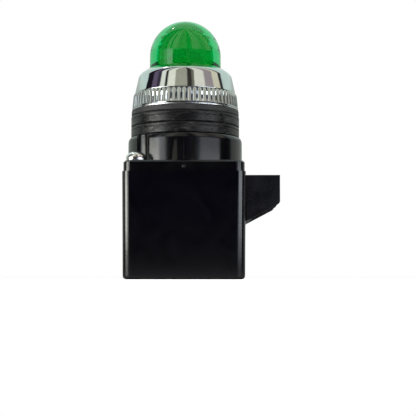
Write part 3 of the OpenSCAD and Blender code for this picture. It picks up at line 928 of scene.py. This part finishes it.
@dataclass
class PanelStack:
    """Spacers, gasket and washer that sit between the collar and the locking ring."""

    shop: Workshop

    def build(self) -> None:
        """Make and dress the pieces."""
        shop = self.shop
        fibre = FibreRing("spacer_black").material()
        rubber = SoftCover("gasket_black", (0.010, 0.010, 0.011), (0.030, 0.030, 0.030), (0.42, 0.6))
        steel = Metal("washer_steel", (0.72, 0.73, 0.74), (0.5, 0.5, 0.5), (0.18, 0.34), 0.1)
        for node, name in (("spacer_lower", "fibre_ring_lower"), ("spacer_upper", "fibre_ring_upper")):
            shop.ease(node, name, 0.06, "spacer_black", fibre)
        shop.dress(rubber.material(), "front_gasket")
        shop.dress(steel.material(), "ring_washer")


@dataclass
class LockingRing:
    """Chrome ring: a bare cone over a band of rounded ribs."""

    shop: Workshop
    foot: float = 2.0
    height: float = 11.2
    base_r: float = 14.66
    root_drop: float = 0.42
    knurl_top_r: float = 14.27
    knurl_top: float = 4.25
    cone_r: float = 13.88
    shoulder: tuple[float, float] = (12.74, 9.65)
    shoulder_r: float = 2.4
    lip_r: float = 10.15
    bore_r: float = 11.12
    ledge: float = 7.7
    rib_count: int = 64
    rib_half_w: float = 0.52
    rib_sunk: float = 0.12
    rib_round: float = 0.55
    rib_rows: tuple[float, float] = (0.4, 1.4)
    rib_straight: float = 0.6
    rib_back: float = 0.25
    rib_steps: int = 6
    rib_sides: int = 8
    edge_r: float = 0.12
    bead_h: float = 0.46
    bead_fall: float = 0.06
    cone_step: float = 0.05
    cone_ease: float = 0.02
    cone_foot: float = 0.25
    lip_land: float = 0.25
    lead_in: float = 0.2
    bore_ease: float = 0.1
    thread: Helix = Helix(radius=11.14, turns=6.0, rise=6.0, wire=0.17, foot=2.7)

    def build(self) -> None:
        """Make the ring's body, its ribs and its inner thread."""
        chrome = Metal(
            "ring_chrome",
            (0.62, 0.665, 0.645),
            (0.55, 0.59, 0.57),
            (0.035, 0.075),
            relief_mm=0.0008,
            blotch_mm=3.0,
            wave_mm=0.011,
        )
        finish = chrome.material()
        self.shop.fit(self.body(), Body.RING, "ring_chrome", finish, ["locking_ring"])
        rib = self.rib()
        ribs = self.shop.round_pattern.make("ring_ribs", Part=rib, Count=self.rib_count, Finish=finish)
        bpy.data.objects.remove(rib)
        self.shop.fit(ribs, Body.RING, "ring_chrome")
        self.shop.fit(self.shop.wind("ring_thread", self.thread, finish), Body.RING, "ring_chrome")

    def body(self) -> Thing:
        """The turned body without its ribs."""
        z = self.foot
        top = z + self.height
        edge = self.edge_r
        knurl_top = z + self.knurl_top
        corner = (self.shoulder[0], z + self.shoulder[1])
        lip = (self.lip_r + self.lip_land, top)
        foot = (self.cone_r, knurl_top + self.cone_foot)
        outline: Profile = [
            (self.bore_r + self.lead_in, z),
            (self.base_r - edge, z),
            (self.base_r, z + edge),
            (self.base_r, z + self.bead_h - edge),
            (self.base_r - edge, z + self.bead_h),
            (self.base_r - self.root_drop, z + self.bead_h + self.bead_fall),
            (self.knurl_top_r - self.root_drop, knurl_top - self.cone_step),
            (self.cone_r + self.cone_ease, knurl_top + self.cone_step),
            foot,
        ]
        outline += rounded_corner(foot, corner, lip, self.shoulder_r, 20)
        outline += [lip]
        outline += arc((self.lip_r + edge, top - edge), edge, edge, 90, 180, 4)
        outline += [(self.lip_r, z + self.ledge + self.bore_ease), (self.lip_r, z + self.ledge)]
        outline += [(self.bore_r, z + self.ledge), (self.bore_r, z + self.lead_in)]
        return lathe("ring_body", outline, 256)

    def rib(self) -> Thing:
        """One rib, with a rounded front end that dies into the cone."""
        round_h = self.rib_round
        top = self.foot + self.knurl_top
        levels = [(self.foot + row, 1.0) for row in self.rib_rows]
        levels.append((top - round_h - self.rib_straight, 1.0))
        for step in range(self.rib_steps + 1):
            turn = math.pi / 2 * step / self.rib_steps
            levels.append((top - round_h + round_h * math.sin(turn), max(math.cos(turn), 0.06)))
        rings = []
        for z, size in levels:
            rise = (z - self.foot) / self.knurl_top
            crest = self.base_r + (self.knurl_top_r - self.base_r) * rise
            root = crest - self.root_drop - self.rib_sunk
            depth = (crest - root) * (0.35 + 0.65 * size)
            ring = []
            for step in range(self.rib_sides + 1):
                angle = math.radians(-90 + 180 * step / self.rib_sides)
                x = root + depth * math.cos(angle) ** 0.8 if abs(math.cos(angle)) > 1e-9 else root
                y = self.rib_half_w * size * math.sin(angle)
                ring.append((x, y, z))
            rings.append(ring + [(root - self.rib_back, 0.0, z)])
        return piece("rib", skin("rib", rings))


@dataclass
class DomedLens:
    """Hollow domed lens with its threaded skirt and the seal under its shoulder."""

    shop: Workshop
    seat: float = 10.0
    tip: float = 26.8
    dome_r: float = 9.82
    body_r: float = 9.85
    wall: float = 2.1
    crown: float = 1.0
    skirt_r: float = 8.62
    skirt_inner_r: float = 7.22
    skirt_h: float = 5.0
    step_rise: tuple[float, ...] = (1.9, 4.4)
    step_depth: float = 0.14
    step_spread: float = 0.28
    round_steps: int = 40
    foot_chamfer: float = 0.25
    seat_chamfer: float = 0.1
    dome_ease: float = 0.02
    inner_foot: float = 1.0
    floor_h: float = 0.2
    thread: Helix = Helix(radius=8.62, turns=3.6, rise=3.6, wire=0.2, foot=5.5)

    def build(self) -> None:
        """Make the lens and its thread, and dress the seal."""
        finish = ClearGreen().material()
        self.shop.fit(self.dome(), Body.LENS, "lens_green", finish, ["lens"])
        self.shop.fit(self.shop.wind("lens_thread", self.thread, finish), Body.LENS, "lens_green")
        seal = SoftCover("seal_rubber", (0.012, 0.010, 0.009), (0.03, 0.026, 0.022))
        self.shop.dress(seal.material(), "lens_seal")

    def dome(self) -> Thing:
        """The moulded lens, with fine light-spreading steps inside the dome."""
        centre = self.tip - self.dome_r
        inner = self.dome_r - self.wall
        rise_top = self.dome_r - self.crown
        foot = self.seat - self.skirt_h
        outline: Profile = [
            (self.skirt_inner_r, foot),
            (self.skirt_r - self.foot_chamfer, foot),
            (self.skirt_r, foot + self.foot_chamfer),
            (self.skirt_r, self.seat),
            (self.body_r - self.seat_chamfer, self.seat),
            (self.body_r, self.seat + self.seat_chamfer),
            (self.dome_r + self.dome_ease, (self.seat + centre) / 2),
        ]
        outline += arc((0.0, centre), self.dome_r, self.dome_r, 0, 90, self.round_steps)[:-1]
        outline += [(0.0, self.tip), (0.0, centre + rise_top)]
        inside = []
        for step in range(1, self.round_steps + 1):
            angle = math.radians(90 - 90 * step / self.round_steps)
            x, y = inner * math.cos(angle), rise_top * math.sin(angle)
            for rise in self.step_rise:
                x += self.step_depth * math.exp(-(((y - rise) / self.step_spread) ** 2))
            inside.append((x, centre + y))
        outline += inside
        outline += [(inner, self.seat + self.inner_foot), (self.skirt_inner_r, self.seat + self.floor_h)]
        return lathe("lens_dome", outline, 192)


@dataclass
class Lamp:
    """Bayonet lamp and its socket, spring and contacts."""

    shop: Workshop
    spring_wire: float = 0.225
    neck_r: float = 4.2
    neck_round: float = 0.2
    glass: float = 0.35
    glass_foot: float = 0.8
    round_steps: int = 20
    filament_rise: float = 6.0

    def build(self) -> None:
        """Make and dress the pieces."""
        shop = self.shop
        brass = Metal("socket_brass", (0.78, 0.60, 0.28), (0.52, 0.38, 0.18), (0.2, 0.38))
        contact = Metal("terminal_brass", (0.80, 0.64, 0.32), (0.56, 0.42, 0.2), (0.2, 0.36))
        steel = Metal("spring_steel", (0.68, 0.69, 0.70), (0.42, 0.42, 0.43), (0.2, 0.35))
        board = SoftCover("phenolic_brown", (0.16, 0.075, 0.032), (0.26, 0.14, 0.07), (0.35, 0.5))
        black_glass = MouldedPlastic("lamp_black", (0.004, 0.004, 0.004), (0.01, 0.01, 0.01), (0.08, 0.16))
        wire_finish = steel.material()
        shop.dress(brass.material(), "lamp_base", "socket_shell")
        shop.dress(black_glass.material(), "lamp_foot")
        shop.dress(board.material(), "socket_insulator", "contact_carrier")
        shop.dress(contact.material(), "centre_contact")
        low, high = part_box("contact_spring")
        wire = self.spring_wire
        spring = Helix(
            radius=high.x / MM - wire,
            turns=4.0,
            rise=(high.z - low.z) / MM - 2 * wire,
            wire=wire - 0.005,
            foot=low.z / MM + wire,
            sides=10,
            steps=48,
        )
        coil = shop.wind("contact_coil", spring, wire_finish)
        shop.fit(coil, Body.ROOT, "spring_steel", None, ["contact_spring"])
        self.bulb(wire_finish)

    def bulb(self, wire_finish: Material) -> None:
        """The glass envelope as a thin shell, with a coiled filament inside it.

        Args:
            wire_finish: Material of the filament.
        """
        low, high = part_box("bulb")
        radius, foot, top = high.x / MM, low.z / MM, high.z / MM
        neck, wall, steps = self.neck_r, self.glass, self.round_steps
        outline: Profile = [
            (0.0, foot),
            (neck - self.neck_round, foot),
            (neck, foot + self.neck_round),
            (radius, foot + radius),
        ]
        outline += arc((0.0, top - radius), radius, radius, 0, 90, steps)[:-1]
        outline += [(0.0, top), (0.0, top - wall)]
        outline += arc((0.0, top - radius), radius - wall, radius - wall, 90, 0, steps)[1:]
        outline += [
            (radius - wall, foot + radius),
            (neck - wall, foot + self.glass_foot),
            (0.0, foot + self.glass_foot),
        ]
        glass = lathe("bulb_shell", outline, 96)
        self.shop.fit(glass, Body.ROOT, "bulb_glass", ClearGlass().material(), ["bulb"])
        wire = Helix(
            radius=0.9, turns=7.0, rise=2.6, wire=0.06, foot=foot + self.filament_rise, sides=6, steps=24
        )
        self.shop.fit(self.shop.wind("filament", wire, wire_finish), Body.ROOT, "spring_steel")


@dataclass
class Transformer:
    """Laminated core, bobbin, two windings and their leads."""

    shop: Workshop
    plates: int = 20
    plate_share: float = 0.93

    def build(self) -> None:
        """Make and dress the pieces."""
        shop = self.shop
        steel = Metal("core_steel", (0.34, 0.35, 0.37), (0.2, 0.16, 0.13), (0.3, 0.5)).material()
        nylon = MouldedPlastic("bobbin_cream", (0.62, 0.58, 0.46), (0.7, 0.66, 0.54), (0.35, 0.5))
        self.laminate("core_e_stack", "e_laminations", steel)
        self.laminate("core_i_stack", "i_laminations", steel)
        shop.dress(nylon.material(), "bobbin")
        # The third colour of each winding is painted shade for the grooves between turns.
        fine = Wound("copper_fine", (0.55, 0.20, 0.07), (0.10, 0.03, 0.012), 0.16)
        thick = Wound("copper_thick", (0.70, 0.34, 0.12), (0.14, 0.05, 0.02), 0.55)
        yellow = SoftCover("lead_yellow", (0.62, 0.42, 0.05), (0.7, 0.52, 0.14), (0.35, 0.5))
        white = SoftCover("lead_white", (0.68, 0.68, 0.64), (0.78, 0.78, 0.74), (0.35, 0.5))
        shop.dress(fine.material(), "primary_winding")
        shop.dress(thick.material(), "secondary_winding")
        shop.dress(yellow.material(), "primary_leads")
        shop.dress(white.material(), "secondary_leads")

    def laminate(self, node: str, name: str, finish: Material) -> None:
        """Stand a row of thin plates in place of a solid stack.

        Args:
            node: Name of the solid.
            name: Name of the piece.
            finish: Its material.
        """
        low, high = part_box(node)
        pitch = (high.y - low.y) / self.plates
        build = bmesh.new()
        build.from_mesh(frame["nodes"][node].data)
        bmesh.ops.remove_doubles(build, verts=build.verts, dist=MERGE)
        for vert in build.verts:
            share = (vert.co.y - low.y) / (high.y - low.y)
            vert.co.y = low.y + share * pitch * self.plate_share
        mesh = meshed(name + "_plate", build)
        plate = piece(name + "_plate", mesh)
        stack = self.shop.row_pattern.make(
            name, Part=plate, Count=self.plates, Step=(0.0, pitch, 0.0), Finish=finish
        )
        bpy.data.objects.remove(plate)
        self.shop.fit(stack, Body.ROOT, "core_steel", None, [node])


@dataclass
class TerminalBlock:
    """Moulded block with its plates, clamps and screws."""

    shop: Workshop

    def build(self) -> None:
        """Make and dress the pieces."""
        shop = self.shop
        moulding = MouldedPlastic(
            "block_black", (0.0022, 0.0024, 0.0040), (0.0046, 0.0048, 0.0072), (0.22, 0.34), relief_mm=0.005
        )
        brass = Metal("plate_brass", (0.80, 0.64, 0.32), (0.56, 0.42, 0.2), (0.2, 0.36))
        steel = Metal("clamp_steel", (0.72, 0.73, 0.74), (0.5, 0.5, 0.5), (0.2, 0.36))
        screw = Metal(
            "screw_brass", (0.78, 0.72, 0.52), (0.55, 0.48, 0.32), (0.16, 0.32), blotch_mm=0.9
        )
        shop.ease("terminal_block", "block_moulding", 0.16, "block_black", moulding.material())
        shop.ease("terminal_plates", "terminal_strips", 0.06, "terminal_brass", brass.material())
        shop.ease("terminal_clamps", "wire_clamps", 0.08, "washer_steel", steel.material())
        shop.ease("terminal_screws", "wire_screws", 0.08, "screw_brass", screw.material())


# ---------------------------------------------------------------- studio


@dataclass
class Studio:
    """Pale floor, soft light, a white surround and the camera.

    A room is what polished surfaces see: pairs of the compass angle from the front, in degrees,
    at which a stretch starts, and its colour. The last stretch goes on round the back.
    """

    floor_z: float = -44.6
    eye: tuple[float, float, float] = (6.3, -283.8, -44.0)
    tilt_deg: float = 3.83
    lens_mm: float = 89.4
    edge_deg: float = 2.5
    low_room: Stops = (
        (-107, (0.03, 0.03, 0.03)),
        (-92, (1.5, 1.5, 1.4)),
        (-80, (14.0, 14.0, 13.0)),
        (-52, (3.0, 3.0, 2.9)),
        (-36, (0.01, 0.01, 0.02)),
        (14, (0.7, 0.75, 1.0)),
        (30, (4.5, 4.7, 5.0)),
        (74, (0.02, 0.02, 0.03)),
        (105, SHADE),
    )
    middle_room: Stops = (
        (-107, (0.02, 0.02, 0.02)),
        (-90, (0.25, 0.25, 0.27)),
        (-72, (1.0, 1.05, 1.15)),
        (-60, (2.6, 2.7, 2.9)),
        (-40, (0.012, 0.012, 0.02)),
        (4, (0.10, 0.10, 0.13)),
        (14, (0.06, 0.065, 0.10)),
        (74, (0.01, 0.01, 0.015)),
        (105, SHADE),
    )
    high_room: Stops = (
        (-105, (0.015, 0.012, 0.02)),
        (-86, (0.16, 0.12, 0.2)),
        (-72, (0.06, 0.05, 0.08)),
        (-62, (1.05, 1.04, 0.95)),
        (-50, (0.01, 0.01, 0.01)),
        (-43, (1.1, 1.08, 0.95)),
        (-24, (0.48, 0.46, 0.38)),
        (6, (0.05, 0.045, 0.04)),
        (17, (0.22, 0.20, 0.16)),
        (24, (1.0, 0.95, 0.86)),
        (50, (0.44, 0.37, 0.40)),
        (73, (0.86, 0.80, 0.64)),
        (93, (0.05, 0.05, 0.05)),
        (103, PAPER),
    )

    def build(self) -> None:
        """Make the floor, the lights, the surround and the camera."""
        self.floor()
        self.lamp("key_softbox", (-260, -220, 330), (0, 0, -10), 260, 2.2)
        self.lamp("fill_softbox", (300, -160, 160), (0, 0, -10), 260, 0.8)
        self.lamp("small_lamp", (-190, 170, 500), (0, 0, 20), 34, 0.07, True)
        self.surround()
        self.camera()

    def floor(self) -> None:
        """A pale floor that keeps the object's shadow. Polished surfaces see it much darker, a painted
        shade in its reflection.
        """
        build = bmesh.new()
        bmesh.ops.create_circle(build, cap_ends=True, segments=96, radius=9.0)
        for vert in build.verts:
            vert.co.z = self.floor_z * MM
        mesh = meshed("pale_floor", build)
        made = piece("pale_floor", mesh)
        sheet = ShaderSheet("floor_pale")
        rays = sheet.add("ShaderNodeLightPath").outputs
        away = sheet.add("ShaderNodeVectorMath")
        away.operation = "LENGTH"
        sheet.feed(away.inputs[0], sheet.coords)
        # Painted shade: what glossy rays see of the floor, 0.30 close to the object falling to 0.06 further
        # out, far darker than the floor itself.
        mirrored = sheet.tinted(
            away.outputs["Value"], [(0.05, (0.30, 0.30, 0.30)), (0.12, (0.06, 0.06, 0.06))]
        )
        sheet.setting(
            Base_Color=sheet.mixed(rays["Is Glossy Ray"], (0.80, 0.80, 0.79, 1.0), mirrored),
            Emission_Strength=sheet.maths("MULTIPLY", rays["Is Camera Ray"], 0.32),
            Emission_Color=WHITE,
            Roughness=0.9,
            Specular_IOR_Level=0.1,
        )
        mesh.materials.append(sheet.material)

    def lamp(
        self,
        name: str,
        place: Sequence[float],
        aim: Sequence[float],
        size: float,
        power: float,
        mirrored: bool = False,
    ) -> None:
        """A square light.

        Args:
            name: Name of the light.
            place: Where it stands, in mm.
            aim: What it points at, in mm.
            size: Its side, in mm.
            power: Its power in watts.
            mirrored: Whether polished surfaces show it.
        """
        data = bpy.data.lights.new(name, "AREA")
        data.size = size * MM
        data.energy = power
        made = piece(name, data)
        made.location = Vector(place) * MM
        made.rotation_euler = (Vector(aim) - Vector(place)).to_track_quat("-Z", "Y").to_euler()
        made.visible_glossy = mirrored
        made.visible_transmission = False
        made.visible_camera = False

    def round_room(self, sky: TreeEditor, bearing: Socket, room: Stops) -> Socket:
        """The room's colour round the horizon.

        Args:
            sky: The world's node tree.
            bearing: Compass angle from the front, as 0 to 1 for -180 to 180 degrees.
            room: Stretches of the room.

        Returns:
            The colour.
        """
        before = room[-1][1]
        stops = [(0.0, before)]
        for start, colour in room:
            for shift, shown in ((-self.edge_deg / 2, before), (self.edge_deg / 2, colour)):
                stops.append(((start + shift + 180.0) / 360.0, shown))
            before = colour
        return sky.tinted(bearing, stops + [(1.0, before)])

    def surround(self) -> None:
        """White to the eye and through glass, a plain level on matt surfaces, a room to polished ones."""
        world = bpy.data.worlds.new("studio")
        bpy.context.scene.world = world
        world.use_nodes = True
        sky = TreeEditor(world.node_tree)
        sky.tree.nodes.clear()
        coords = sky.add("ShaderNodeTexCoord")
        x, y, z = sky.add("ShaderNodeSeparateXYZ", Vector=coords.outputs["Generated"]).outputs
        angle = sky.maths("ARCTAN2", x, sky.maths("MULTIPLY", y, -1.0))
        bearing = sky.maths("ADD", sky.maths("DIVIDE", angle, 2 * math.pi), 0.5)
        height = sky.maths("ARCSINE", z)

        def above(start_deg: float, stop_deg: float) -> Socket:
            """0 below one height, 1 above another."""
            start, stop = math.radians(start_deg), math.radians(stop_deg)
            node = sky.add("ShaderNodeMapRange", Value=height, From_Min=start, From_Max=stop)
            node.interpolation_type = "SMOOTHSTEP"
            return node.outputs["Result"]

        low, middle, high = (
            self.round_room(sky, bearing, room)
            for room in (self.low_room, self.middle_room, self.high_room)
        )
        room = sky.mixed(above(14.0, 20.0), sky.mixed(above(5.0, 8.0), low, middle), high)
        rays = sky.add("ShaderNodeLightPath").outputs
        plain = sky.mixed(rays["Is Glossy Ray"], (0.72, 0.72, 0.72, 1.0), room)
        through = sky.mixed(rays["Is Transmission Ray"], plain, WHITE)
        seen = sky.mixed(rays["Is Camera Ray"], through, WHITE)
        background = sky.add("ShaderNodeBackground", Color=seen)
        sky.add("ShaderNodeOutputWorld", Surface=background.outputs[0])

    def camera(self) -> None:
        """The camera, low and level with the rear of the case, looking slightly up."""
        data = bpy.data.cameras.new("camera")
        data.lens = self.lens_mm
        data.sensor_width = 36.0
        data.clip_start = 0.01
        made = piece("camera", data)
        made.location = Vector(self.eye) * MM
        made.rotation_euler = (math.radians(90 + self.tilt_deg), 0.0, 0.0)
        bpy.context.scene.camera = made


def main() -> None:
    """Build every sub-assembly, then the studio."""
    logging.basicConfig(level=logging.INFO, format="%(name)s: %(message)s")
    shop = Workshop()
    for assembly in (
        RearCase(shop),
        PanelStack(shop),
        LockingRing(shop),
        DomedLens(shop),
        Lamp(shop),
        Transformer(shop),
        TerminalBlock(shop),
    ):
        assembly.build()
        LOG.info("%s ready", type(assembly).__name__)
    Studio().build()
    bpy.context.scene.view_settings.view_transform = "Standard"


if __name__ == "__main__":
    main()
